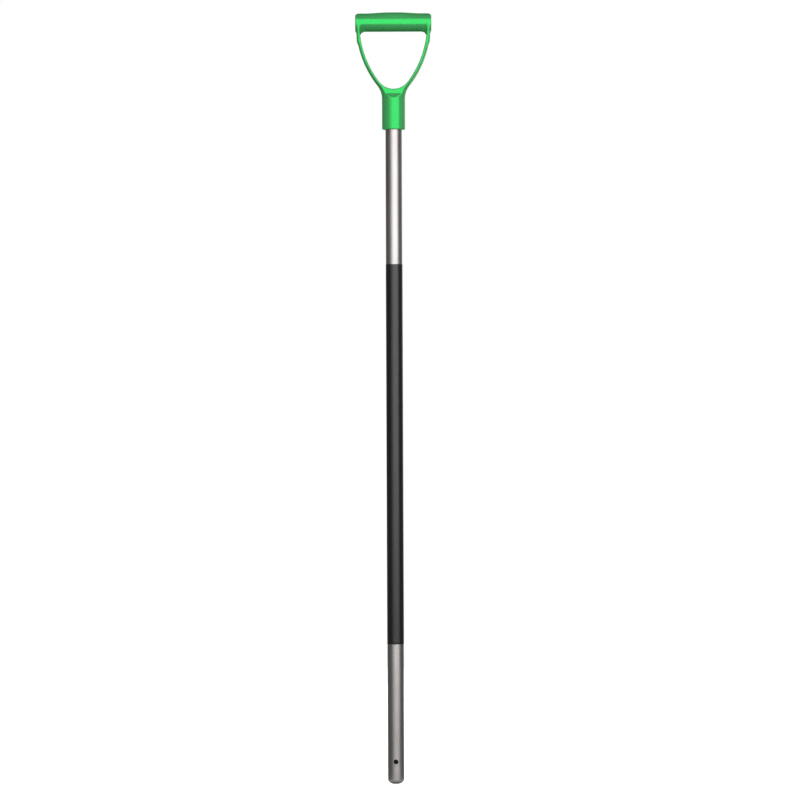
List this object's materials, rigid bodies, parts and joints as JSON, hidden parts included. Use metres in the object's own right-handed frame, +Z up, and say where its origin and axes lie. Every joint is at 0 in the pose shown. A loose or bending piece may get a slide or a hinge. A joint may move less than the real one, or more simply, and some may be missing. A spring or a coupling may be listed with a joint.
{
  "type": "sand scoop handle",
  "caption": "Long straight handle for a beach sand scoop: tube with a moulded D-grip, a thin grip sleeve and a rounded lower end drilled for the scoop.",
  "frame": {"origin": "middle of the tube's lower end, on the shaft's axis", "axes": "+Z up the shaft towards the grip, +X along the grip's crossbar, front of the handle towards -Y, rivet on the back towards +Y"},
  "size_m": [0.1186, 0.036, 1.2028],
  "materials": {
    "green_plastic": "glossy, fine moulded grain",
    "drawn_aluminium": "drawn, satin, fine lengthwise lines",
    "black_sleeve": "satin black shrink sleeve",
    "rivet_aluminium": "bright, lightly marked",
    "rivet_steel": "zinc plated, broken end"
  },
  "bodies": {
    "root": {"d_grip": "green_plastic", "shaft_tube": "drawn_aluminium", "shaft_sleeve": "black_sleeve", "rivet_body": "rivet_aluminium", "rivet_mandrel": "rivet_steel"}
  },
  "joints": []
}
